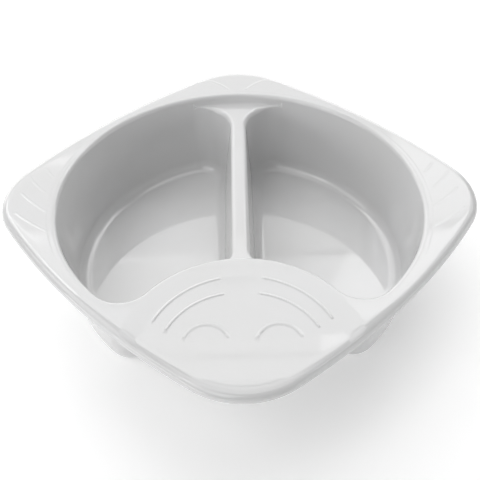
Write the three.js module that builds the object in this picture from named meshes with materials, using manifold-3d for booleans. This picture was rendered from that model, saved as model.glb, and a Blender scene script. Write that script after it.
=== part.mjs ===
// Two-compartment wash bowl: a rounded-diamond rim holds two deep wells side by
// side, with a divider between them and a dished soap shelf in front. The bowl
// is one thin-walled plastic moulding. Four rubber pads plug into its base.
//
// Millimetres, +Z up, +Y to the back. The origin is on the table, at the middle.

import * as THREE from 'three';
import { mergeVertices } from 'three/addons/utils/BufferGeometryUtils.js';
import Module from 'manifold-3d';

const wasm = await Module();
wasm.setup();

// Driving dimensions -------------------------------------------------------

const WALL = 2.5;                   // thickness of the moulding everywhere

const RIM_HALF_WIDTH = 135;         // middle of the bowl to the middle of a bowed side
const RIM_CORNER_RADIUS = 50.6;
const RIM_SIDE_RADIUS = 480;        // the four sides bow outwards a little
const ROLL_WIDTH = 5;               // the flat rim starts to roll down this far from its edge
const ROLL_DROP = 4.2;              // rim top to its widest line
const LIP_DROP = 8.5;               // rim top to the bottom of the lip
const LIP_TAPER = 2.2;              // the lip leans inwards below its widest line

const OPENING_RADIUS = 122.75;
const SHELF_CENTRE = new THREE.Vector2(0, -131);
const SHELF_RADIUS = 71.6;          // the shelf bulges into the round opening
const WELL_DEPTH = 65.3;
const WALL_SLOPE = 0.1;             // mould draft, sideways per unit of depth
const BACK_RADIUS = 26;             // upright corners of the wells, in plan
const FRONT_RADIUS = 17;
const LOBE_RADIUS = 20;
const FLOOR_FILLET = 6;
const BASE_FILLET = 8.5;
const RIM_ROUNDING = 3;

const DIVIDER_WIDTH = 10;           // at the rim's level; the draft widens it below
const DIVIDER_DROP = 7.5;           // rim top to the divider's top

const DISH_RADIUS = 69.5;           // soap dish, concentric with the shelf's edge
const DISH_FRONT_Y = -126;
const DISH_CORNER_RADIUS = 15;
const DISH_DEPTH = 1.4;             // at its front
const DISH_SLOPE_WIDTH = 14;
const DISH_BACK_SHARE = 0.22;       // part of that depth under the wells' edge
const DISH_SLOPE = [[0, 0], [0.25, 0.44], [0.5, 0.75], [1, 1]];   // parts of the width and of the depth

const RIB_RADIUS = 1.2;
const RIB_PROUD = 0.5;

const PAD_RADIUS = 9;
const PAD_PROUD = 1.5;
const SOCKET_DEPTH = 1.2;
const CLEARANCE = 0.3;              // between a pad and its socket

const FRONT_PAD = new THREE.Vector2(80, -50);
const BACK_PAD = new THREE.Vector2(48, 78);

const RIM_HEIGHT = PAD_PROUD + WALL + WELL_DEPTH;   // table to the rim's top
const ABOVE = 2;                    // how far a cutter stands clear of what it cuts

const WHITE_PLASTIC = { color: 0xf3f4f5, roughness: 0.22, metalness: 0 };
const GREY_RUBBER = { color: 0x9a9d9f, roughness: 0.85, metalness: 0 };

// Outlines in plan -----------------------------------------------------------

// Points along an arc from one angle to another, without the last one, which
// the next stretch of the outline starts on. It runs clockwise if end < start.
function arc(centre, radius, start, end, steps) {
  const curve = new THREE.EllipseCurve(centre.x, centre.y, radius, radius, start, end, end < start);
  return curve.getPoints(steps).slice(0, -1);
}

function atAngle(angle, distance) {
  return new THREE.Vector2(Math.cos(angle), Math.sin(angle)).multiplyScalar(distance);
}

// A diamond with round corners on the X and Y axes. Corner and side arcs are
// tangent, so the corner centres follow from the three rim dimensions.
const SIDE_CENTRE_REACH = RIM_SIDE_RADIUS - RIM_HALF_WIDTH;
const CORNER_OFFSET = (() => {
  const tangent = RIM_SIDE_RADIUS - RIM_CORNER_RADIUS;
  const reach = SIDE_CENTRE_REACH;
  return (Math.sqrt(2 * tangent ** 2 - reach ** 2) - reach) / 2;
})();
const SIDE_HALF_SPAN = Math.atan2(CORNER_OFFSET, CORNER_OFFSET + SIDE_CENTRE_REACH);

function rimOutline(inset) {
  const cornerHalfSpan = Math.PI / 4 - SIDE_HALF_SPAN;
  const points = [];
  for (let quarter = 0; quarter < 4; quarter += 1) {
    const corner = quarter * Math.PI / 2;
    const side = corner + Math.PI / 4;
    points.push(...arc(atAngle(corner, CORNER_OFFSET * Math.SQRT2), RIM_CORNER_RADIUS - inset,
      corner - cornerHalfSpan, corner + cornerHalfSpan, 10));
    points.push(...arc(atAngle(side, -SIDE_CENTRE_REACH), RIM_SIDE_RADIUS - inset,
      side - SIDE_HALF_SPAN, side + SIDE_HALF_SPAN, 5));
  }
  return points;
}

// Centres of the right well's three upright corners. Each one is tangent to two
// of: the round opening, the shelf's edge and the divider.
const LOBE_REACH = OPENING_RADIUS - LOBE_RADIUS;
const LOBE_FROM_SHELF = SHELF_RADIUS + LOBE_RADIUS;
const LOBE_Y = (LOBE_REACH ** 2 - LOBE_FROM_SHELF ** 2 + SHELF_CENTRE.y ** 2) / (2 * SHELF_CENTRE.y);
const LOBE = new THREE.Vector2(Math.sqrt(LOBE_REACH ** 2 - LOBE_Y ** 2), LOBE_Y);
const BACK_X = DIVIDER_WIDTH / 2 + BACK_RADIUS;
const BACK_CORNER = new THREE.Vector2(BACK_X, Math.sqrt((OPENING_RADIUS - BACK_RADIUS) ** 2 - BACK_X ** 2));
const FRONT_X = DIVIDER_WIDTH / 2 + FRONT_RADIUS;
const FRONT_CORNER = new THREE.Vector2(FRONT_X,
  SHELF_CENTRE.y + Math.sqrt((SHELF_RADIUS + FRONT_RADIUS) ** 2 - FRONT_X ** 2));

const ORIGIN = new THREE.Vector2(0, 0);
const LOBE_ANGLE = LOBE.angle() - 2 * Math.PI;
const BACK_ANGLE = BACK_CORNER.angle();
const SHELF_TO_LOBE = LOBE.clone().sub(SHELF_CENTRE).angle();
const SHELF_TO_CORNER = FRONT_CORNER.clone().sub(SHELF_CENTRE).angle();

const ROUND_STEPS = 22;
const SHELF_STEPS = 6;
const CORNER_STEPS = 6;

function mirrored(points) {
  return points.map((point) => new THREE.Vector2(-point.x, point.y)).reverse();
}

function rightWellOutline(inset) {
  return [
    ...arc(ORIGIN, OPENING_RADIUS - inset, LOBE_ANGLE, BACK_ANGLE, ROUND_STEPS),
    ...arc(BACK_CORNER, BACK_RADIUS - inset, BACK_ANGLE, Math.PI, CORNER_STEPS),
    new THREE.Vector2(DIVIDER_WIDTH / 2 + inset, BACK_CORNER.y),
    ...arc(FRONT_CORNER, FRONT_RADIUS - inset, Math.PI, Math.PI + SHELF_TO_CORNER, CORNER_STEPS),
    ...arc(SHELF_CENTRE, SHELF_RADIUS + inset, SHELF_TO_CORNER, SHELF_TO_LOBE, SHELF_STEPS),
    ...arc(LOBE, LOBE_RADIUS - inset, SHELF_TO_LOBE - Math.PI, LOBE_ANGLE, CORNER_STEPS + 2),
  ];
}

function leftWellOutline(inset) {
  return mirrored(rightWellOutline(inset));
}

// The whole opening above the divider: both wells and the divider's place.
function openingOutline(inset) {
  const lobe = LOBE_RADIUS - inset;
  const outer = OPENING_RADIUS - inset;
  const shelf = SHELF_RADIUS + inset;
  const leftLobe = new THREE.Vector2(-LOBE.x, LOBE.y);
  return [
    ...arc(ORIGIN, outer, LOBE_ANGLE, BACK_ANGLE, ROUND_STEPS),
    ...arc(ORIGIN, outer, BACK_ANGLE, Math.PI - BACK_ANGLE, 6),
    ...arc(ORIGIN, outer, Math.PI - BACK_ANGLE, Math.PI - LOBE_ANGLE, ROUND_STEPS),
    ...arc(leftLobe, lobe, Math.PI - LOBE_ANGLE, 2 * Math.PI - SHELF_TO_LOBE, CORNER_STEPS + 2),
    ...arc(SHELF_CENTRE, shelf, Math.PI - SHELF_TO_LOBE, Math.PI - SHELF_TO_CORNER, SHELF_STEPS),
    ...arc(SHELF_CENTRE, shelf, Math.PI - SHELF_TO_CORNER, SHELF_TO_CORNER, 6),
    ...arc(SHELF_CENTRE, shelf, SHELF_TO_CORNER, SHELF_TO_LOBE, SHELF_STEPS),
    ...arc(LOBE, lobe, SHELF_TO_LOBE - Math.PI, LOBE_ANGLE, CORNER_STEPS + 2),
  ];
}

// The dish is a half moon: an arc behind, a straight front and two round corners.
function dishOutline(inset) {
  const cornerY = DISH_FRONT_Y + DISH_CORNER_RADIUS;
  const reach = DISH_RADIUS - DISH_CORNER_RADIUS;
  const cornerX = Math.sqrt(reach ** 2 - (cornerY - SHELF_CENTRE.y) ** 2);
  const right = new THREE.Vector2(cornerX, cornerY);
  const left = new THREE.Vector2(-cornerX, cornerY);
  const turn = right.clone().sub(SHELF_CENTRE).angle();
  return [
    ...arc(SHELF_CENTRE, DISH_RADIUS - inset, turn, Math.PI - turn, 16),
    ...arc(left, DISH_CORNER_RADIUS - inset, Math.PI - turn, 1.5 * Math.PI, 5),
    ...arc(right, DISH_CORNER_RADIUS - inset, -0.5 * Math.PI, turn, 5),
    right.clone().add(atAngle(turn, DISH_CORNER_RADIUS - inset)),
  ].slice(0, -1);
}

// Solids ---------------------------------------------------------------------

// A closed solid through level outlines that have equal numbers of points,
// given from the lowest level to the highest as [height, inset].
function loft(outline, levels) {
  const positions = [];
  const indices = [];
  for (const [height, inset] of levels) {
    for (const point of outline(inset)) {
      positions.push(point.x, point.y, height);
    }
  }
  const count = positions.length / 3 / levels.length;
  for (let level = 0; level + 1 < levels.length; level += 1) {
    for (let i = 0; i < count; i += 1) {
      const next = (i + 1) % count;
      const low = level * count;
      const high = low + count;
      indices.push(low + i, low + next, high + next);
      indices.push(low + i, high + next, high + i);
    }
  }
  const top = (levels.length - 1) * count;
  const flat = outline(levels[0][1]);
  for (const [a, b, c] of THREE.ShapeUtils.triangulateShape(flat, [])) {
    indices.push(c, b, a);
  }
  for (const [a, b, c] of THREE.ShapeUtils.triangulateShape(outline(levels.at(-1)[1]), [])) {
    indices.push(top + a, top + b, top + c);
  }
  const geometry = new THREE.BufferGeometry();
  geometry.setAttribute('position', new THREE.Float32BufferAttribute(positions, 3));
  geometry.setIndex(indices);
  return geometry;
}

function toSolid(geometry) {
  const bare = geometry.clone();
  bare.deleteAttribute('normal');
  bare.deleteAttribute('uv');
  const merged = mergeVertices(bare, 1e-4);
  return new wasm.Manifold(new wasm.Mesh({
    numProp: 3,
    vertProperties: new Float32Array(merged.attributes.position.array),
    triVerts: new Uint32Array(merged.index.array),
  }));
}

function toGeometry(solid) {
  const mesh = solid.getMesh();
  const geometry = new THREE.BufferGeometry();
  geometry.setAttribute('position', new THREE.BufferAttribute(new Float32Array(mesh.vertProperties), 3));
  geometry.setIndex(new THREE.BufferAttribute(new Uint32Array(mesh.triVerts), 1));
  return geometry;
}

// Levels round a quarter circle, as [height, inset] pairs.
function quarterLevels(steps, place) {
  return Array.from({ length: steps + 1 }, (_, i) => place((i / steps) * (Math.PI / 2)));
}

// Rim and lip: rolled over at the edge and open underneath. `skin` is 0 for the
// outer surface and WALL for the inner one.
function rimSolid(skin) {
  const bend = skin > 0 ? ROLL_WIDTH - 2 : ROLL_WIDTH;
  const rolled = quarterLevels(5, (t) => [
    -ROLL_DROP + (ROLL_DROP - skin) * Math.sin(t),
    skin + bend * (1 - Math.cos(t)),
  ]);
  const lip = skin > 0
    ? [[-LIP_DROP - ABOVE, LIP_TAPER + skin], [-LIP_DROP, LIP_TAPER + skin]]
    : [[-LIP_DROP, LIP_TAPER + 0.6], [-LIP_DROP + 0.6, LIP_TAPER]];
  return toSolid(loft(rimOutline, [...lip, ...rolled]));
}

// Inside of the wells, down to the floor's fillet.
function wellCavity(outline) {
  const straight = WELL_DEPTH - FLOOR_FILLET;
  const fillet = quarterLevels(3, (t) => [
    -WELL_DEPTH + FLOOR_FILLET * (1 - Math.cos(t)),
    WALL_SLOPE * straight + FLOOR_FILLET * (1 - Math.sin(t)),
  ]);
  return toSolid(loft(outline, [...fillet, [0, 0]]));
}

function wellShell(outline) {
  const base = WELL_DEPTH + WALL;
  const straight = base - BASE_FILLET;
  const fillet = quarterLevels(3, (t) => [
    -base + BASE_FILLET * (1 - Math.cos(t)),
    WALL_SLOPE * straight - WALL + BASE_FILLET * (1 - Math.sin(t)),
  ]);
  return toSolid(loft(outline, [...fillet, [-WALL / 2, WALL_SLOPE * WALL / 2 - WALL]]));
}

// The opening above the divider, with a rounded edge.
function openingCavity() {
  const rounding = quarterLevels(4, (t) => [
    -RIM_ROUNDING * (1 - Math.sin(t)),
    WALL_SLOPE * RIM_ROUNDING - RIM_ROUNDING * (1 - Math.cos(t)),
  ]);
  return toSolid(loft(openingOutline, [
    [-DIVIDER_DROP, WALL_SLOPE * DIVIDER_DROP],
    ...rounding,
    [ABOVE, WALL_SLOPE * RIM_ROUNDING - RIM_ROUNDING],
  ]));
}

function openingShell() {
  const bottom = DIVIDER_DROP + WALL;
  return toSolid(loft(openingOutline, [
    [-bottom, WALL_SLOPE * bottom - WALL],
    [-WALL / 2, WALL_SLOPE * WALL / 2 - WALL],
  ]));
}

// The dish is shallow at its back and deepest at its front.
function dishShare(y) {
  const back = SHELF_CENTRE.y + DISH_RADIUS;
  return THREE.MathUtils.mapLinear(y, DISH_FRONT_Y, back, 1, DISH_BACK_SHARE);
}

function dishSolid(drop, grow, top) {
  const levels = DISH_SLOPE.map(([along, deep]) => [
    -drop - DISH_DEPTH * deep,
    DISH_SLOPE_WIDTH * along - grow,
  ]).reverse();
  const geometry = loft(dishOutline, [...levels, [top, -grow]]);
  const positions = geometry.attributes.position;
  for (let i = 0; i < positions.count; i += 1) {
    const sunk = Math.min(positions.getZ(i) + drop, 0);
    if (sunk < 0) {
      positions.setZ(i, -drop + sunk * dishShare(positions.getY(i)));
    }
  }
  return toSolid(geometry);
}

// Height of the shelf's surface at a point in plan.
function shelfHeight(point) {
  const inset = Math.min(DISH_RADIUS - point.distanceTo(SHELF_CENTRE), point.y - DISH_FRONT_Y);
  const along = THREE.MathUtils.clamp(inset / DISH_SLOPE_WIDTH, 0, 1);
  const end = DISH_SLOPE.findIndex(([width]) => width >= along);
  const [toAlong, toDeep] = DISH_SLOPE[end];
  const [fromAlong, fromDeep] = DISH_SLOPE[Math.max(end - 1, 0)];
  const deep = end === 0 ? 0 : THREE.MathUtils.mapLinear(along, fromAlong, toAlong, fromDeep, toDeep);
  return -DISH_DEPTH * deep * dishShare(point.y);
}

// A raised rib: a round bar along an arc, half sunk into the surface.
function ribSolid(curve, steps) {
  const flat = curve.getPoints(steps);
  const route = new THREE.CatmullRomCurve3(flat.map((point) => (
    new THREE.Vector3(point.x, point.y, shelfHeight(point) + RIB_PROUD - RIB_RADIUS))));
  const section = new THREE.Shape().absellipse(0, 0, RIB_RADIUS, RIB_RADIUS, 0, 2 * Math.PI);
  const bar = new THREE.ExtrudeGeometry(section, { steps, curveSegments: 8, extrudePath: route });
  return toSolid(bar);
}

function arcBetween(centre, radius, startDegrees, endDegrees) {
  const start = THREE.MathUtils.degToRad(startDegrees);
  const end = THREE.MathUtils.degToRad(endDegrees);
  return new THREE.EllipseCurve(centre.x, centre.y, radius, radius, start, end, false);
}

// Ribs on one side of the bowl, right of its middle.
function rightRibs() {
  const innerCentre = new THREE.Vector2(2, -133);
  const archCentre = new THREE.Vector2(20.3, -123.6);
  const gripCentre = new THREE.Vector2(57, 80);
  return [
    ribSolid(arcBetween(SHELF_CENTRE, 55.4, 25, 76), 10),
    ribSolid(arcBetween(innerCentre, 44.8, 26, 78), 9),
    ribSolid(arcBetween(archCentre, 12.6, 20, 160), 8),
    ribSolid(arcBetween(gripCentre, 94, -39, -32), 3),
    ribSolid(arcBetween(gripCentre, 107, -45, -33.5), 4),
    ribSolid(arcBetween(gripCentre, 119, -53, -40.5), 4),
    ribSolid(arcBetween(gripCentre, 132.5, -59.5, -47), 4),
    ribSolid(arcBetween(new THREE.Vector2(40, 110), 39, 112, 146), 4),
    ribSolid(arcBetween(new THREE.Vector2(20, 118), 27, 44, 74), 3),
  ];
}

function acrossTheMiddle(solid) {
  return solid.mirror([1, 0, 0]);
}

function padPlaces() {
  return {
    front_left_pad: new THREE.Vector2(-FRONT_PAD.x, FRONT_PAD.y),
    front_right_pad: FRONT_PAD,
    back_left_pad: new THREE.Vector2(-BACK_PAD.x, BACK_PAD.y),
    back_right_pad: BACK_PAD,
  };
}

// A short disc with a bevelled lower edge, standing on z = 0.
function padGeometry() {
  const bevel = 0.6;
  const height = PAD_PROUD + SOCKET_DEPTH - CLEARANCE;
  const profile = [
    new THREE.Vector2(0, 0),
    new THREE.Vector2(PAD_RADIUS - bevel, 0),
    new THREE.Vector2(PAD_RADIUS, bevel),
    new THREE.Vector2(PAD_RADIUS, height),
    new THREE.Vector2(0, height),
  ];
  const geometry = new THREE.LatheGeometry(profile, 28);
  return geometry.rotateX(Math.PI / 2);
}

function socketSolid(place) {
  const depth = SOCKET_DEPTH + ABOVE;
  const socket = new THREE.CylinderGeometry(PAD_RADIUS + CLEARANCE, PAD_RADIUS + CLEARANCE, depth, 28);
  socket.rotateX(Math.PI / 2);
  socket.translate(place.x, place.y, -WELL_DEPTH - WALL + SOCKET_DEPTH - depth / 2);
  return toSolid(socket);
}

function bowlGeometry() {
  let bowl = rimSolid(0).subtract(rimSolid(WALL));
  bowl = bowl.add(dishSolid(WALL, 1, -WALL / 2));
  bowl = bowl.add(wellShell(rightWellOutline));
  bowl = bowl.add(wellShell(leftWellOutline));
  bowl = bowl.add(openingShell());
  bowl = bowl.subtract(wellCavity(rightWellOutline));
  bowl = bowl.subtract(wellCavity(leftWellOutline));
  bowl = bowl.subtract(openingCavity());
  bowl = bowl.subtract(dishSolid(0, 0, ABOVE));
  for (const rib of rightRibs()) {
    bowl = bowl.add(rib).add(acrossTheMiddle(rib));
  }
  for (const place of Object.values(padPlaces())) {
    bowl = bowl.subtract(socketSolid(place));
  }
  return toGeometry(bowl);
}

// Assembly -------------------------------------------------------------------

const washBowl = new THREE.Group();

const bowl = new THREE.Mesh(bowlGeometry(), new THREE.MeshStandardMaterial(WHITE_PLASTIC));
bowl.name = 'bowl_moulding';
bowl.position.z = RIM_HEIGHT;
washBowl.add(bowl);

for (const [name, place] of Object.entries(padPlaces())) {
  const pad = new THREE.Mesh(padGeometry(), new THREE.MeshStandardMaterial(GREY_RUBBER));
  pad.name = name;
  pad.position.set(place.x, place.y, 0);
  washBowl.add(pad);
}

export default washBowl;
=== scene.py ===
"""Looks of the two-compartment wash bowl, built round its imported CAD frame.

The bowl is one thin moulding with a top skin and an underside, joined along the
rim's rolled lip. Each skin is a height over the plan: the plan is triangulated
along offset outlines, then every point is lifted onto a smooth implicit surface.
Lengths are in millimetres until a mesh is made, which is in metres.
"""

import math

import bpy
import numpy as np
from mathutils import Matrix, Vector
from mathutils.geometry import delaunay_2d_cdt


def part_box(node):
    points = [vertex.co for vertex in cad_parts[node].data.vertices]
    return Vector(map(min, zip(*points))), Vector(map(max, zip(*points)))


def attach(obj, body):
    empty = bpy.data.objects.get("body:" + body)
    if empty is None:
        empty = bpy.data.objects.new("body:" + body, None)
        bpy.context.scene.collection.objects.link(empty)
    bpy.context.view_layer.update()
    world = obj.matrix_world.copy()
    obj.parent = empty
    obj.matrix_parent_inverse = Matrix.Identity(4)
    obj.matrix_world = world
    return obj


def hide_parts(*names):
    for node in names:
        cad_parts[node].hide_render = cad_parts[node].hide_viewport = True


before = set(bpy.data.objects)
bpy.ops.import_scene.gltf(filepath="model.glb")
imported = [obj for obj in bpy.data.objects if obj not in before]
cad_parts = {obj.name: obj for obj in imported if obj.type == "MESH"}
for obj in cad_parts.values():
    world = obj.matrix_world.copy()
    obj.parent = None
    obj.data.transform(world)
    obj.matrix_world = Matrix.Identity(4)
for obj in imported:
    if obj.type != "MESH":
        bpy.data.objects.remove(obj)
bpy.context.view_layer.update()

# Dimensions -------------------------------------------------------------------

MM = 0.001

RIB_PROUD = 0.5
bowl_low, bowl_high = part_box("bowl_moulding")
REACH = bowl_high.x / MM                        # middle of the bowl to a rim corner
RIM_HEIGHT = bowl_high.z / MM - RIB_PROUD       # table to the flat top of the rim
BASE_HEIGHT = bowl_low.z / MM

WALL = 2.5
WELL_DEPTH = RIM_HEIGHT - BASE_HEIGHT - WALL
WALL_SLOPE = 0.1
BACK_RADIUS = 26.0                              # upright corners of the wells, in plan
FRONT_RADIUS = 17.0
LOBE_RADIUS = 20.0
FLOOR_FILLET = 8.0
RIM_ROUNDING = 3.0

RIM_HALF_WIDTH = 135.0
RIM_SIDE_RADIUS = 480.0
RIM_CORNER_RADIUS = 50.6
ROLL_WIDTH = 10.0                               # the rim's edge rolls over, slowly at first
ROLL_DROP = 4.2
ROLL_POWER = 4
LIP_DROP = 8.5
LIP_TAPER = 2.2                                 # the lip leans inwards below its widest line
LIP_CURVE = 1.6                                 # power of that lean
LIP_ROUNDING = 0.9
TOP_BORDER = 2.4                                # insets where the lip's strip meets the skins
UNDER_BORDER = 5.5

OPENING_RADIUS = 122.75
SHELF_CENTRE = np.array([0.0, -131.0])
SHELF_RADIUS = 71.6

# A shallow land runs round the opening's sides and back.
LAND_WIDTH = 6.0
LAND_STEP_WIDTH = 1.3
LAND_DROP = 0.1
LAND_SLOPE = 0.015
LAND_END_Y = -75.0
LAND_FADE = 25.0

DIVIDER_WIDTH = 10.0                            # at the rim's level; the draft widens it below
DIVIDER_DROP = 7.5
DIVIDER_ROUNDING = 3.5
DIVIDER_FILLET = 3.0                            # where the divider's top meets the rim's wall

DISH_RADIUS = 69.5
DISH_DEPTH = 1.4                                # the dish's floor slopes down to its front
DISH_BACK_DEPTH = 0.3
DISH_BACK_WIDTH = 12.0                          # widths of the slopes round the floor
DISH_FRONT_Y = -148.0
DISH_FRONT_WIDTH = 30.0
DISH_CORNER_ROUNDING = 0.3                      # shares of those slopes' widths
DISH_EDGE_SOFTNESS = 0.14

PAD_RADIUS = 9.0
PAD_TOP_ROUNDING = 0.5
PAD_FOOT_ROUNDING = 0.6
PAD_RINGS_INSET = 0.9                           # from the pad's edge to its first groove
PAD_RINGS_END = 1.2                             # radius of the plain middle
PAD_MIDDLE_RISE = 0.2
PAD_GROOVE = 0.35                               # depth of the grooves between its grip rings
PAD_RING_SPACING = 1.8
SOCKET_DEPTH = 1.2
CLEARANCE = 0.3

TAU = 2 * math.pi
ORIGIN = np.zeros(2)


# Plan geometry ----------------------------------------------------------------

def polar(angle, distance):
    return distance * np.array([math.cos(angle), math.sin(angle)])


def angle_of(vector):
    return math.atan2(vector[1], vector[0])


def arc(centre, radius, start, end, steps):
    """Points from one angle towards another, without the last one."""
    angles = start + (end - start) * np.arange(steps) / steps
    return centre + radius * np.column_stack([np.cos(angles), np.sin(angles)])


SIDE_CENTRE_REACH = RIM_SIDE_RADIUS - RIM_HALF_WIDTH
CORNER_TO_SIDE_CENTRE = RIM_SIDE_RADIUS - RIM_CORNER_RADIUS
CORNER_OFFSET = (math.sqrt(2 * CORNER_TO_SIDE_CENTRE ** 2 - SIDE_CENTRE_REACH ** 2)
                 - SIDE_CENTRE_REACH) / 2
SIDE_HALF_SPAN = math.atan2(CORNER_OFFSET, CORNER_OFFSET + SIDE_CENTRE_REACH)

LOBE_REACH = OPENING_RADIUS - LOBE_RADIUS
LOBE_FROM_SHELF = SHELF_RADIUS + LOBE_RADIUS
LOBE_Y = (LOBE_REACH ** 2 - LOBE_FROM_SHELF ** 2 + SHELF_CENTRE[1] ** 2) / (2 * SHELF_CENTRE[1])
LOBE = np.array([math.sqrt(LOBE_REACH ** 2 - LOBE_Y ** 2), LOBE_Y])
BACK_X = DIVIDER_WIDTH / 2 + BACK_RADIUS
BACK_CORNER = np.array([BACK_X, math.sqrt((OPENING_RADIUS - BACK_RADIUS) ** 2 - BACK_X ** 2)])
FRONT_X = DIVIDER_WIDTH / 2 + FRONT_RADIUS
FRONT_FROM_SHELF = SHELF_RADIUS + FRONT_RADIUS
FRONT_CORNER = SHELF_CENTRE + [FRONT_X, math.sqrt(FRONT_FROM_SHELF ** 2 - FRONT_X ** 2)]

LOBE_ANGLE = angle_of(LOBE)
BACK_ANGLE = angle_of(BACK_CORNER)
SHELF_TO_LOBE = angle_of(LOBE - SHELF_CENTRE)
SHELF_TO_CORNER = angle_of(FRONT_CORNER - SHELF_CENTRE)


def rim_outline(inset):
    corner_span = math.pi / 4 - SIDE_HALF_SPAN
    parts = []
    for quarter in range(4):
        corner = quarter * math.pi / 2
        side = corner + math.pi / 4
        parts.append(arc(polar(corner, CORNER_OFFSET * math.sqrt(2)), RIM_CORNER_RADIUS - inset,
                         corner - corner_span, corner + corner_span, 44))
        parts.append(arc(polar(side, -SIDE_CENTRE_REACH), RIM_SIDE_RADIUS - inset,
                         side - SIDE_HALF_SPAN, side + SIDE_HALF_SPAN, 80))
    return np.vstack(parts)


def well_outline(inset):
    """Outline of the right well."""
    left = DIVIDER_WIDTH / 2 + inset
    straight = np.column_stack([np.full(70, left),
                                np.linspace(BACK_CORNER[1], FRONT_CORNER[1], 71)[:-1]])
    return np.vstack([
        arc(ORIGIN, OPENING_RADIUS - inset, LOBE_ANGLE, BACK_ANGLE, 140),
        arc(BACK_CORNER, BACK_RADIUS - inset, BACK_ANGLE, math.pi, 30),
        straight,
        arc(FRONT_CORNER, FRONT_RADIUS - inset, math.pi, math.pi + SHELF_TO_CORNER, 18),
        arc(SHELF_CENTRE, SHELF_RADIUS + inset, SHELF_TO_CORNER, SHELF_TO_LOBE, 26),
        arc(LOBE, LOBE_RADIUS - inset, SHELF_TO_LOBE - math.pi, LOBE_ANGLE, 30),
    ])


def opening_outline(inset):
    """Outline of both wells and the divider's place together."""
    right = np.vstack([
        arc(SHELF_CENTRE, SHELF_RADIUS + inset, math.pi / 2, SHELF_TO_LOBE, 40),
        arc(LOBE, LOBE_RADIUS - inset, SHELF_TO_LOBE - math.pi, LOBE_ANGLE, 30),
        arc(ORIGIN, OPENING_RADIUS - inset, LOBE_ANGLE, math.pi / 2, 158),
    ])
    back = np.array([[0.0, OPENING_RADIUS - inset]])
    left = right[:0:-1] * [-1, 1]
    return np.vstack([right, back, left])


def mirrored(points):
    return points * [-1, 1]


def distance(points, centre):
    return np.hypot(points[:, 0] - centre[0], points[:, 1] - centre[1])


def with_corner(depth, points, centre, radius, start, end):
    """Replaces the depth in the sector of a rounded corner."""
    angles = np.arctan2(points[:, 1] - centre[1], points[:, 0] - centre[0])
    inside = ((angles - start) % TAU) < (end - start)
    return np.where(inside, radius - distance(points, centre), depth)


def opening_depth(points):
    """Distance inwards from the opening's edge, in plan."""
    folded = np.column_stack([np.abs(points[:, 0]), points[:, 1]])
    depth = np.minimum(OPENING_RADIUS - distance(folded, ORIGIN),
                       distance(folded, SHELF_CENTRE) - SHELF_RADIUS)
    return with_corner(depth, folded, LOBE, LOBE_RADIUS, SHELF_TO_LOBE - math.pi, LOBE_ANGLE)


def well_depth(points):
    """Distance inwards from the edge of the well on the point's own side."""
    folded = np.column_stack([np.abs(points[:, 0]), points[:, 1]])
    depth = np.minimum(opening_depth(points), folded[:, 0] - DIVIDER_WIDTH / 2)
    depth = with_corner(depth, folded, BACK_CORNER, BACK_RADIUS, BACK_ANGLE, math.pi)
    return with_corner(depth, folded, FRONT_CORNER, FRONT_RADIUS, math.pi, math.pi + SHELF_TO_CORNER)


def rim_depth(points):
    """Distance inwards from the rim's outer edge."""
    turned = points @ np.array([[1, -1], [1, 1]]) / math.sqrt(2)
    turned = np.sort(np.abs(turned), axis=1)[:, ::-1]
    side = np.column_stack([turned[:, 0] + SIDE_CENTRE_REACH, turned[:, 1]])
    by_side = RIM_SIDE_RADIUS - np.hypot(side[:, 0], side[:, 1])
    by_corner = RIM_CORNER_RADIUS - distance(turned, [CORNER_OFFSET, CORNER_OFFSET])
    return np.where(np.arctan2(side[:, 1], side[:, 0]) < SIDE_HALF_SPAN, by_side, by_corner)


# Smooth joins: both values are positive in the air ------------------------------

def rounded_union(a, b, radius):
    """Air in either space, where the solid's edge between them is rounded."""
    return (np.minimum(-radius, np.maximum(a, b))
            + np.hypot(np.maximum(radius + a, 0), np.maximum(radius + b, 0)))


def filleted_overlap(a, b, radius):
    """Air in both spaces, where the solid's inside corner is filleted."""
    return (np.maximum(radius, np.minimum(a, b))
            - np.hypot(np.maximum(radius - a, 0), np.maximum(radius - b, 0)))


def smooth_step(value):
    value = np.clip(value, 0, 1)
    return value * value * (3 - 2 * value)


# Ribs and dish -------------------------------------------------------------------

class Rib:
    """A raised arc in plan: a centre, a radius, two angles in degrees, and its
    height and half its width."""

    def __init__(self, centre, radius, start, end, rise=0.13, half_width=1.4):
        self.centre = np.array(centre, float)
        self.radius = radius
        self.start = math.radians(start)
        self.end = math.radians(end)
        self.rise = rise
        self.half_width = half_width

    def mirror(self):
        start = 180 - math.degrees(self.end)
        end = 180 - math.degrees(self.start)
        return Rib(self.centre * [-1, 1], self.radius, start, end, self.rise, self.half_width)

    def distance(self, points):
        """Distance in plan from the rib's middle line."""
        angles = np.arctan2(points[:, 1] - self.centre[1], points[:, 0] - self.centre[0])
        middle = (self.start + self.end) / 2
        off = np.abs((angles - middle + math.pi) % TAU - math.pi)
        ends = np.minimum(distance(points, self.centre + polar(self.start, self.radius)),
                          distance(points, self.centre + polar(self.end, self.radius)))
        along = np.abs(distance(points, self.centre) - self.radius)
        return np.where(off <= (self.end - self.start) / 2, along, ends)

    def height(self, points):
        share = np.clip(self.distance(points) / self.half_width, 0, 1)
        return self.rise * (0.5 + 0.5 * np.cos(math.pi * share))

    def mesh_lines(self):
        """Lines of points along the rib, close enough to carry its profile."""
        spare = 1.1 * self.half_width / self.radius
        length = (self.end - self.start + 2 * spare) * self.radius
        for offset in np.linspace(-1.15, 1.15, 11) * self.half_width:
            steps = max(8, int(length / RIB_LINE_SPACING))
            yield arc(self.centre, self.radius + offset, self.start - spare, self.end + spare, steps)


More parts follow.
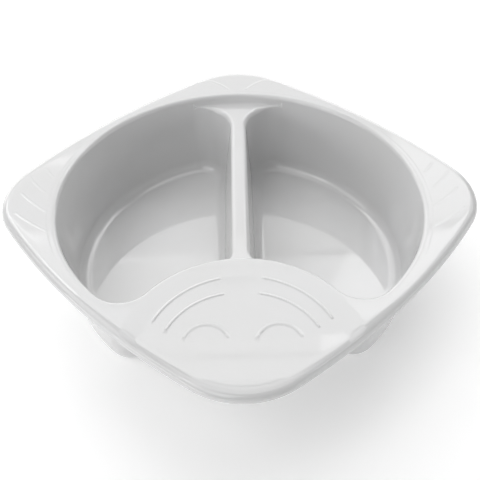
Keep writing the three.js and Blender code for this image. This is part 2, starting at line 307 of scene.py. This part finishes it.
def make_ribs():
    right = [
        Rib(SHELF_CENTRE, 55.4, 25, 76, rise=0.38, half_width=1.3),
        Rib((2, -133), 44.8, 26, 78, rise=0.38, half_width=1.3),
        Rib((20.3, -123.6), 12.6, 20, 160, rise=0.3, half_width=1.7),
        Rib((57, 80), 94, -39, -32),
        Rib((57, 80), 107, -45, -33.5),
        Rib((57, 80), 119, -53, -40.5),
        Rib((57, 80), 132.5, -59.5, -47),
        Rib((40, 110), 39, 112, 146),
        Rib((20, 118), 27, 44, 74),
    ]
    return right + [rib.mirror() for rib in right]


RIBS = make_ribs()


def dish_drop(points):
    """Depth of the soap dish."""
    back = (DISH_RADIUS - distance(points, SHELF_CENTRE)) / DISH_BACK_WIDTH
    front = (points[:, 1] - DISH_FRONT_Y) / DISH_FRONT_WIDTH
    missing = 1 - np.clip(filleted_overlap(back, front, DISH_CORNER_ROUNDING), 0, None)
    share = np.clip(1 - (missing + np.hypot(missing, DISH_EDGE_SOFTNESS)) / 2, 0, 1)
    back_y = SHELF_CENTRE[1] + DISH_RADIUS
    along = np.clip((back_y - points[:, 1]) / (back_y - DISH_FRONT_Y - DISH_FRONT_WIDTH), 0, 1)
    return share * (DISH_BACK_DEPTH + (DISH_DEPTH - DISH_BACK_DEPTH) * along)


def land_drop(points):
    inwards = OPENING_RADIUS + LAND_WIDTH - distance(points, ORIGIN)
    step = LAND_DROP * smooth_step(inwards / LAND_STEP_WIDTH)
    slope = LAND_SLOPE * np.clip(inwards - LAND_STEP_WIDTH, 0, LAND_WIDTH)
    return (step + slope) * smooth_step((points[:, 1] - LAND_END_Y) / LAND_FADE)


def roll_drop(inset):
    """How far the rolled edge of the rim lies below the rim's flat top."""
    outwards = np.clip(1 - inset / ROLL_WIDTH, 0, 1)
    return ROLL_DROP * (1 - np.sqrt(1 - outwards ** ROLL_POWER))


def rib_rise(points):
    return np.max([rib.height(points) for rib in RIBS], axis=0)


# The pads' places come from the CAD nodes -------------------------------------------

def pad_place(node):
    low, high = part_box(node)
    return np.array([(low.x + high.x) / 2, (low.y + high.y) / 2]) / MM


PAD_NODES = ("front_left_pad", "front_right_pad", "back_left_pad", "back_right_pad")
PAD_PLACES = {node: pad_place(node) for node in PAD_NODES}


# Skins ---------------------------------------------------------------------------

LEDGE_SHARE = 0.4                               # part of the ledge's width its rounding may take
HALVINGS = 44                                   # steps in the search for a skin's height
PROBE = 0.004                                   # half the span over which slopes are measured


class Skin:
    """One face of the moulding as an implicit surface. `grow` is 0 for the top
    skin and WALL for the underside, which is the top skin's parallel."""

    def __init__(self, points, grow):
        self.points = points
        self.grow = grow
        self.opening = opening_depth(points)
        self.well = well_depth(points)
        self.ledge = np.maximum(self.opening - self.well, 0) * LEDGE_SHARE
        self.flat = -dish_drop(points) - land_drop(points) - grow
        if grow == 0:
            self.flat += rib_rise(points) - roll_drop(rim_depth(points))

    def value(self, z):
        """Positive above the skin, negative below it."""
        grow = self.grow
        steep = math.hypot(1, WALL_SLOPE)
        rim_wall = (self.opening + WALL_SLOPE * z) / steep + grow
        well_wall = (self.well + WALL_SLOPE * z) / steep + grow
        fillet = np.minimum(DIVIDER_FILLET, self.ledge) + grow
        edge = np.maximum(np.minimum(DIVIDER_ROUNDING, self.ledge) - grow, 0)
        above_divider = filleted_overlap(rim_wall, z + DIVIDER_DROP + grow, fillet)
        in_well = filleted_overlap(well_wall, z + WELL_DEPTH + grow, FLOOR_FILLET + grow)
        hollow = rounded_union(above_divider, in_well, edge)
        skin = rounded_union(hollow, z - self.flat, RIM_ROUNDING - grow)
        if grow:
            skin = np.minimum(skin, self.outside_sockets(z))
        return skin

    def outside_sockets(self, z):
        ceiling = -WELL_DEPTH - WALL + SOCKET_DEPTH
        nearest = np.min([distance(self.points, pad) for pad in PAD_PLACES.values()], axis=0)
        side = nearest - PAD_RADIUS - CLEARANCE + WALL_SLOPE * (z - ceiling)
        return np.maximum(side, z - ceiling)

    def height(self):
        low = np.full(len(self.points), -WELL_DEPTH - WALL - 1.0)
        high = np.full(len(self.points), RIB_PROUD + 0.5)
        for _ in range(HALVINGS):
            middle = (low + high) / 2
            above = self.value(middle) > 0
            high = np.where(above, middle, high)
            low = np.where(above, low, middle)
        return (low + high) / 2


def lift(points, grow):
    """Heights and upward normals of a skin over plan points."""
    z = Skin(points, grow).height()
    slopes = []
    for axis in range(2):
        shift = np.zeros(2)
        shift[axis] = PROBE
        ahead = Skin(points + shift, grow).value(z)
        behind = Skin(points - shift, grow).value(z)
        slopes.append(ahead - behind)
    here = Skin(points, grow)
    slopes.append(here.value(z + PROBE) - here.value(z - PROBE))
    normals = np.column_stack(slopes)
    normals /= np.linalg.norm(normals, axis=1)[:, None]
    return z, normals


# Plan meshes -----------------------------------------------------------------------

MERGE_DISTANCE = 1e-5
DIVIDER_SPACING = 1.6                           # between scattered points on the divider's top
COARSE_SPACING = 2.6                            # and on the rim and the well floors
ROLL_LINE_SPACING = 0.5
RIB_LINE_SPACING = 0.8
SOCKET_RINGS = np.array([1.0, 0.3, 0.12, 0.06, 0, -0.06, -0.4, -1.2])   # from a socket's edge


class Plan:
    """Points and constraint edges for one triangulated skin."""

    def __init__(self):
        self.points = []
        self.edges = []
        self.count = 0

    def scatter(self, points):
        self.points.append(points)
        self.count += len(points)

    def line(self, points, keep=None, closed=True):
        """Adds a line of points, or the stretches of it that `keep` marks."""
        if keep is None:
            keep = np.ones(len(points), bool)
        numbers = np.cumsum(keep) - 1 + self.count
        last = len(points) if closed else len(points) - 1
        for i in range(last):
            j = (i + 1) % len(points)
            if keep[i] and keep[j]:
                self.edges.append((int(numbers[i]), int(numbers[j])))
        self.scatter(points[keep])

    def both_sides(self, points, keep=None, closed=True):
        self.line(points, keep, closed)
        self.line(mirrored(points), keep, closed)

    def triangulate(self):
        """Points, triangles and, for each input point, its number among the points."""
        given = np.vstack(self.points)
        result = delaunay_2d_cdt([Vector(p) for p in given], self.edges, [], 0, MERGE_DISTANCE)
        vertices, triangles, sources = result[0], result[2], result[3]
        points = np.array([(v.x, v.y) for v in vertices], float)
        number = np.full(len(given), -1)
        for index, origins in enumerate(sources):
            if origins:
                points[index] = given[origins[0]]
                number[list(origins)] = index
        return points, np.array(triangles), number


def quarter_insets(at_wall, radius, steps, turn=1):
    """Insets that follow a quarter circle in even steps. It leaves the wall
    outwards if turn is 1, as at an edge, and inwards if -1, as at a floor."""
    angles = np.linspace(0, math.pi / 2, steps)
    return at_wall - turn * radius * (1 - np.cos(angles))


def grid(spacing, low, high):
    xs = np.arange(low[0], high[0], spacing)
    ys = np.arange(low[1], high[1], spacing * math.sqrt(3) / 2)
    x, y = np.meshgrid(xs, ys)
    x[1::2] += spacing / 2
    return np.column_stack([x.ravel(), y.ravel()])


def clear_of_ribs(points):
    return np.all([rib.distance(points) > 1.6 * rib.half_width for rib in RIBS], axis=0)


def skin_plan(grow, border):
    """The plan mesh of a skin whose border ring lies at that rim inset."""
    plan = Plan()
    plan.line(rim_outline(border))
    edge_radius = RIM_ROUNDING - grow
    wall_top = WALL_SLOPE * RIM_ROUNDING - grow
    opening_insets = list(quarter_insets(wall_top, edge_radius, 12))
    outermost = opening_insets[-1]
    opening_insets += [outermost - 0.5, outermost - 1.5]
    for inset in opening_insets:
        points = opening_outline(inset)
        plan.line(points, rim_depth(points) > border + 0.3)

    # Wells: wall, floor fillet and the floor near it.
    wall_foot = WALL_SLOPE * (WELL_DEPTH - FLOOR_FILLET) - grow
    wall = np.linspace(wall_top, wall_foot, 9)[1:-1]
    floor_fillet = quarter_insets(wall_foot, FLOOR_FILLET + grow, 10, turn=-1)
    floor = floor_fillet[-1] + np.array([0.5, 1.5, 3.5])
    for inset in [*wall, *floor_fillet, *floor]:
        if inset < FRONT_RADIUS - 0.4:
            plan.both_sides(well_outline(inset))
    innermost = min(floor[-1], FRONT_RADIUS - 0.4)

    # The divider: its rounded edges, its ends and its top.
    edge = max(DIVIDER_ROUNDING - grow, 0.2)
    divider_wall = WALL_SLOPE * (DIVIDER_DROP + DIVIDER_ROUNDING) - grow
    for inset in [*quarter_insets(divider_wall, edge, 9), divider_wall - edge - 0.6]:
        points = well_outline(inset)
        ledge = opening_depth(points) - inset
        plan.both_sides(points, (ledge > 0.25) & (opening_depth(points) > wall_top + 0.02))
    end_fillet = quarter_insets(WALL_SLOPE * RIM_ROUNDING - grow, DIVIDER_FILLET + grow, 8, turn=-1)
    for inset in end_fillet[1:]:
        points = opening_outline(inset)
        plan.line(points, well_depth(points) < inset - 0.25)
    top = grid(DIVIDER_SPACING, (-40, -80), (40, 130))
    over = opening_depth(top) > end_fillet[-1] + 0.5
    plan.scatter(top[over & (well_depth(top) < divider_wall - edge - 0.9)])

    # The rim, the dish and the ribs.
    if grow == 0:
        for rib in RIBS:
            for points in rib.mesh_lines():
                plan.scatter(points)
    for radius in OPENING_RADIUS + LAND_WIDTH + np.arange(-LAND_STEP_WIDTH - 0.2, 0.3, 0.3):
        points = arc(ORIGIN, radius, 0, TAU, 700)
        apart = (opening_depth(points) < outermost - 0.3) & (rim_depth(points) > border + 0.3)
        plan.scatter(points[apart & (points[:, 1] > LAND_END_Y)])
    for inset in np.arange(border + ROLL_LINE_SPACING, ROLL_WIDTH, ROLL_LINE_SPACING):
        points = rim_outline(inset)
        plan.scatter(points[opening_depth(points) < outermost - 0.4])
    coarse = grid(COARSE_SPACING, (-REACH, -REACH), (REACH, REACH))
    on_rim = (opening_depth(coarse) < outermost - 2.4) & (rim_depth(coarse) > ROLL_WIDTH)
    if grow == 0:
        on_rim &= clear_of_ribs(coarse)
    on_floor = well_depth(coarse) > innermost + 1.5
    plan.scatter(coarse[on_rim | on_floor])
    if grow:
        for pad in PAD_PLACES.values():
            for radius in PAD_RADIUS + CLEARANCE + SOCKET_RINGS:
                plan.line(arc(pad, radius, 0, TAU, 64))
    return plan


# Meshes --------------------------------------------------------------------------

def lip_profile():
    """From the top skin's border over the rolled edge and down the lip, and back
    inside to the underside's border, as (inset, height) pairs."""
    roll_insets = TOP_BORDER * (1 - np.linspace(0, 1, 16)[1:]) ** 2
    roll = [(inset, -roll_drop(inset)) for inset in roll_insets]
    lip_height = LIP_DROP - ROLL_DROP - LIP_ROUNDING

    def down_lip(share):
        return LIP_TAPER * share ** LIP_CURVE, -ROLL_DROP - lip_height * share

    lip = [down_lip(share) for share in np.linspace(0, 1, 7)[1:]]
    foot = []
    for turn in np.linspace(0, math.pi, 12)[1:]:
        side = LIP_TAPER + WALL / 2 - WALL / 2 * math.cos(turn)
        foot.append((side, -LIP_DROP + LIP_ROUNDING * (1 - math.sin(turn))))
    inside = []
    for share in np.linspace(1, 0, 7)[1:]:
        inset, height = down_lip(share)
        inside.append((WALL + inset, height))
    bend = UNDER_BORDER - WALL
    ceiling = [(WALL + bend * (1 - math.cos(turn)), -ROLL_DROP + (ROLL_DROP - WALL) * math.sin(turn))
               for turn in np.linspace(0, math.pi / 2, 8)[1:-1]]
    return roll + lip + foot + inside + ceiling


def new_mesh(name, points, faces, normals=None):
    mesh = bpy.data.meshes.new(name)
    mesh.from_pydata((points * MM).tolist(), [], faces)
    mesh.validate()
    mesh.shade_smooth()
    if normals is not None:
        mesh.normals_split_custom_set_from_vertices(normals.tolist())
    piece = bpy.data.objects.new(name, mesh)
    bpy.context.scene.collection.objects.link(piece)
    return piece


def make_bowl():
    top_points, top_faces, top_number = skin_plan(0, TOP_BORDER).triangulate()
    under_points, under_faces, under_number = skin_plan(WALL, UNDER_BORDER).triangulate()
    top_z, top_normals = lift(top_points, 0)
    under_z, under_normals = lift(under_points, WALL)

    ring_size = len(rim_outline(0))
    rings = [np.column_stack([rim_outline(inset), np.full(ring_size, z)])
             for inset, z in lip_profile()]
    points = np.vstack([np.column_stack([top_points, top_z]),
                        np.column_stack([under_points, under_z]), *rings])
    under_start = len(top_points)
    ring_start = under_start + len(under_points)
    numbers = [top_number[:ring_size]]
    numbers += [ring_start + i * ring_size + np.arange(ring_size) for i in range(len(rings))]
    numbers.append(under_start + under_number[:ring_size])

    faces = [tuple(face) for face in top_faces.tolist()]
    faces += [tuple(face[::-1]) for face in (under_faces + under_start).tolist()]
    for upper, lower in zip(numbers, numbers[1:]):
        following = np.roll(upper, -1), np.roll(lower, -1)
        faces += np.column_stack([upper, lower, following[1], following[0]]).tolist()
    normals = np.vstack([top_normals, -under_normals, np.zeros((len(rings) * ring_size, 3))])
    points[:, 2] += RIM_HEIGHT
    return new_mesh("wash_bowl", points, faces, normals)


bowl = make_bowl()
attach(bowl, "root")
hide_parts("bowl_moulding")


# Foot pads: rubber discs with grip rings underneath -------------------------------

def pad_profile(thickness):
    """From the middle of the top, over the edge, to the middle of the underside."""
    top_edge = PAD_RADIUS - PAD_TOP_ROUNDING
    foot_edge = PAD_RADIUS - PAD_FOOT_ROUNDING
    rings_edge = PAD_RADIUS - PAD_RINGS_INSET
    profile = [(0, thickness), (top_edge, thickness)]
    for turn in np.linspace(0, math.pi / 2, 6):
        profile.append((top_edge + PAD_TOP_ROUNDING * math.sin(turn),
                        thickness - PAD_TOP_ROUNDING + PAD_TOP_ROUNDING * math.cos(turn)))
    for turn in np.linspace(0, math.pi / 2, 7):
        profile.append((foot_edge + PAD_FOOT_ROUNDING * math.cos(turn),
                        PAD_FOOT_ROUNDING - PAD_FOOT_ROUNDING * math.sin(turn)))
    for radius in np.arange(rings_edge, PAD_RINGS_END, -0.15):
        ring = (rings_edge - radius) / PAD_RING_SPACING
        profile.append((radius, PAD_GROOVE * math.sin(math.pi * ring) ** 2))
    profile.append((0, PAD_MIDDLE_RISE))
    return profile


def make_pad(node):
    low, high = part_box(node)
    steps = 72
    profile = pad_profile((high.z - low.z) / MM)
    rings = [arc(PAD_PLACES[node], radius, 0, TAU, steps) for radius, _ in profile[1:-1]]
    points = [[*PAD_PLACES[node], profile[0][1]]]
    for ring, (_, z) in zip(rings, profile[1:-1]):
        points += [[x, y, z] for x, y in ring]
    points.append([*PAD_PLACES[node], profile[-1][1]])
    faces = []
    last = len(points) - 1
    end = last - steps
    for k in range(steps):
        following = (k + 1) % steps
        faces.append((0, 1 + k, 1 + following))
        for start in range(1, end, steps):
            faces.append((start + k, start + steps + k, start + steps + following, start + following))
        faces.append((last, end + following, end + k))
    points = np.array(points, float)
    points[:, 2] += low.z / MM
    pad = new_mesh(node + "_rubber", points, faces)
    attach(pad, "root")
    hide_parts(node)
    return pad


pads = [make_pad(node) for node in PAD_NODES]


# Materials -------------------------------------------------------------------------

class Nodes:
    """A material's node tree, with short ways to add nodes."""

    def __init__(self, name):
        self.material = bpy.data.materials.new(name)
        self.material.use_nodes = True
        self.tree = self.material.node_tree
        self.shader = self.tree.nodes["Principled BSDF"]
        self.place = self.tree.nodes.new("ShaderNodeTexCoord").outputs["Object"]

    def link(self, source, target):
        self.tree.links.new(source, target)

    def noise(self, scale, detail=2.0, stretch=(1, 1, 1)):
        mapping = self.tree.nodes.new("ShaderNodeMapping")
        mapping.inputs["Scale"].default_value = stretch
        self.link(self.place, mapping.inputs["Vector"])
        noise = self.tree.nodes.new("ShaderNodeTexNoise")
        noise.inputs["Scale"].default_value = scale
        noise.inputs["Detail"].default_value = detail
        self.link(mapping.outputs["Vector"], noise.inputs["Vector"])
        return noise.outputs["Fac"]

    def height(self):
        split = self.tree.nodes.new("ShaderNodeSeparateXYZ")
        self.link(self.place, split.inputs[0])
        return split.outputs["Z"]

    def span(self, value, start, end, low, high):
        """Maps a value's span onto another, and holds it at the ends."""
        node = self.tree.nodes.new("ShaderNodeMapRange")
        self.link(value, node.inputs["Value"])
        node.inputs["From Min"].default_value = start
        node.inputs["From Max"].default_value = end
        node.inputs["To Min"].default_value = low
        node.inputs["To Max"].default_value = high
        return node.outputs["Result"]

    def math(self, operation, first, second):
        node = self.tree.nodes.new("ShaderNodeMath")
        node.operation = operation
        for value, target in zip((first, second), node.inputs):
            if isinstance(value, (int, float)):
                target.default_value = value
            else:
                self.link(value, target)
        return node.outputs[0]

    def colour(self, share, first, second):
        """Mixes two colours, where the first may be another node's output."""
        node = self.tree.nodes.new("ShaderNodeMix")
        node.data_type = "RGBA"
        if isinstance(first, tuple):
            node.inputs["A"].default_value = (*first, 1)
        else:
            self.link(first, node.inputs["A"])
        node.inputs["B"].default_value = (*second, 1)
        self.link(share, node.inputs["Factor"])
        return node.outputs["Result"]

    def surface(self, colour, roughness):
        self.link(colour, self.shader.inputs["Base Color"])
        self.link(roughness, self.shader.inputs["Roughness"])

    def bump(self, height, distance, strength=1.0):
        node = self.tree.nodes.new("ShaderNodeBump")
        node.inputs["Strength"].default_value = strength
        node.inputs["Distance"].default_value = distance
        self.link(height, node.inputs["Height"])
        self.link(node.outputs["Normal"], self.shader.inputs["Normal"])


PLASTIC_TINTS = (0.672, 0.672, 0.670), (0.688, 0.689, 0.692)
PLASTIC_WORN = (0.58, 0.57, 0.55)
RUBBER_TINTS = (0.10, 0.10, 0.105), (0.17, 0.17, 0.17)
RUBBER_DUST = (0.34, 0.33, 0.31)
HANDLED_DEPTH = 6.0                             # below the rim's top
SCUFF_START = 0.3                               # heights above the base
SCUFF_END = 1.5


def white_plastic():
    """Glossy moulded plastic: faint tint changes, slight waviness, fine scratches on
    the handled rim and scuffs under the base."""
    nodes = Nodes("white_plastic")
    height = nodes.height()
    tint = nodes.span(nodes.noise(14, 3), 0.35, 0.65, 0, 1)
    scuffed = nodes.span(height, (BASE_HEIGHT + SCUFF_START) * MM, (BASE_HEIGHT + SCUFF_END) * MM, 1, 0)
    handled = nodes.span(height, (RIM_HEIGHT - HANDLED_DEPTH) * MM, RIM_HEIGHT * MM, 0, 1)
    scratches = nodes.math("ADD",
                           nodes.span(nodes.noise(160, 4, (1, 9, 1)), 0.60, 0.72, 0, 1),
                           nodes.span(nodes.noise(160, 4, (9, 1, 1)), 0.62, 0.74, 0, 1))
    exposed = nodes.math("ADD", nodes.math("MULTIPLY", handled, 0.35), scuffed)
    wear = nodes.math("MULTIPLY", scratches, exposed)

    clean = nodes.colour(tint, *PLASTIC_TINTS)
    colour = nodes.colour(nodes.math("MULTIPLY", wear, 0.35), clean, PLASTIC_WORN)
    clouding = nodes.span(nodes.noise(38, 5), 0.3, 0.7, 0.04, 0.075)
    rough = nodes.math("ADD", clouding, nodes.math("MULTIPLY", wear, 0.12))
    rough = nodes.math("ADD", rough, nodes.math("MULTIPLY", scuffed, 0.3))
    nodes.surface(colour, rough)

    waves = nodes.math("MULTIPLY", nodes.noise(40, 1), 0.35)
    grain = nodes.math("MULTIPLY", nodes.noise(1100, 2), 0.03)
    marks = nodes.math("MULTIPLY", wear, -0.15)
    nodes.bump(nodes.math("ADD", nodes.math("ADD", waves, grain), marks), 0.00004)
    nodes.shader.inputs["IOR"].default_value = 1.55
    nodes.shader.inputs["Specular IOR Level"].default_value = 0.75
    return nodes.material


def grey_rubber():
    """Matt rubber: fine grain, uneven tone and paler dust on the rings' crests."""
    nodes = Nodes("grey_rubber")
    tone = nodes.colour(nodes.noise(220, 4), *RUBBER_TINTS)
    dust = nodes.span(nodes.noise(900, 3), 0.5, 0.75, 0, 0.5)
    crests = nodes.span(nodes.height(), 0, 0.0004, 1, 0.2)
    colour = nodes.colour(nodes.math("MULTIPLY", dust, crests), tone, RUBBER_DUST)
    nodes.surface(colour, nodes.span(nodes.noise(500, 3), 0.3, 0.7, 0.62, 0.85))
    nodes.bump(nodes.noise(2600, 3), 0.0001, 0.6)
    return nodes.material


bowl.data.materials.append(white_plastic())
rubber = grey_rubber()
for pad in pads:
    pad.data.materials.append(rubber)


# Stage -----------------------------------------------------------------------------

FLOOR_GLOW = 0.27
FLOOR_HALF_SIZE = 3000.0
FLOOR_TINTS = (0.86, 0.86, 0.86), (0.89, 0.89, 0.89)


def pale_floor():
    nodes = Nodes("floor")
    nodes.surface(nodes.colour(nodes.noise(3, 2), *FLOOR_TINTS),
                  nodes.span(nodes.noise(60, 3), 0.3, 0.7, 0.85, 0.95))
    nodes.bump(nodes.noise(700, 2), 0.00005, 0.4)
    nodes.shader.inputs["Emission Color"].default_value = (1, 1, 1, 1)
    nodes.shader.inputs["Emission Strength"].default_value = FLOOR_GLOW
    return nodes.material


def make_floor():
    corners = [(-1, -1, 0), (1, -1, 0), (1, 1, 0), (-1, 1, 0)]
    floor = new_mesh("floor", FLOOR_HALF_SIZE * np.array(corners), [(0, 1, 2, 3)])
    floor.data.materials.append(pale_floor())


make_floor()


LIGHTS = {
    # name: (azimuth from the back, elevation, distance, width, height, power)
    "back_low": (-8, 12, 2.0, 3.6, 0.8, 16),
    "back_mid": (-5, 29, 2.0, 3.0, 0.5, 5.5),
    "back_upper": (-3, 40, 2.0, 2.6, 0.3, 3.5),
    "back_high": (0, 48, 2.0, 2.4, 0.26, 4),
    "back_top": (0, 56.5, 2.0, 2.2, 0.32, 4.5),
    "back_over": (5, 67, 1.8, 0.9, 0.25, 1),
    "overhead": (0, 84, 1.8, 1.6, 0.8, 4.5),
    "front_left": (-135, 52, 1.8, 1.4, 1.1, 7),
    "left_card": (-46, 39, 1.8, 0.3, 0.8, 1.5),
    "right_card": (38, 41, 1.8, 1.0, 0.8, 2.5),
    "front_low": (180, 8, 2.0, 2.6, 0.5, 2),
    "front_left_low": (-120, 10, 2.0, 1.8, 0.6, 9),
    "right_low": (100, 6, 2.0, 2.2, 0.7, 7),
    "left_side": (-90, 45, 1.8, 1.2, 0.9, 4),
}


def make_lights():
    target = Vector((0, 0, RIM_HEIGHT * MM))
    for name, (azimuth, elevation, distance, width, height, power) in LIGHTS.items():
        data = bpy.data.lights.new(name, "AREA")
        data.shape = "RECTANGLE"
        data.size = width
        data.size_y = height
        data.energy = power
        light = bpy.data.objects.new(name, data)
        bpy.context.scene.collection.objects.link(light)
        a, e = math.radians(azimuth), math.radians(elevation)
        towards = Vector((math.sin(a) * math.cos(e), math.cos(a) * math.cos(e), math.sin(e)))
        light.location = target + towards * distance
        turn = Matrix.Rotation(-a, 3, "Z") @ Matrix.Rotation(-(math.pi / 2 - e), 3, "X")
        light.rotation_euler = turn.to_euler()


WORLD_STRENGTH = 0.2


def make_world():
    world = bpy.data.worlds.new("studio")
    bpy.context.scene.world = world
    world.use_nodes = True
    background = world.node_tree.nodes["Background"]
    background.inputs["Color"].default_value = (1, 1, 1, 1)
    background.inputs["Strength"].default_value = WORLD_STRENGTH


make_world()
make_lights()

CAMERA_PLACE = Vector((-3.04, -343.0, 290.6))     # from the middle of the rim's top
CAMERA_PITCH = math.radians(44.3)                 # below the horizon
CAMERA_HEADING = -0.0085
CAMERA_ROLL = -0.0087
CAMERA_LENS = 49.72
CAMERA_SENSOR = 36


def make_camera():
    data = bpy.data.cameras.new("camera")
    data.lens = CAMERA_LENS
    data.sensor_width = CAMERA_SENSOR
    camera = bpy.data.objects.new("camera", data)
    bpy.context.scene.collection.objects.link(camera)
    place = (CAMERA_PLACE + Vector((0, 0, RIM_HEIGHT))) * MM
    turn = (Matrix.Rotation(CAMERA_HEADING, 4, "Z")
            @ Matrix.Rotation(math.pi / 2 - CAMERA_PITCH, 4, "X")
            @ Matrix.Rotation(CAMERA_ROLL, 4, "Z"))
    camera.matrix_world = Matrix.Translation(place) @ turn
    bpy.context.scene.camera = camera


make_camera()
bpy.context.scene.view_settings.view_transform = "Standard"
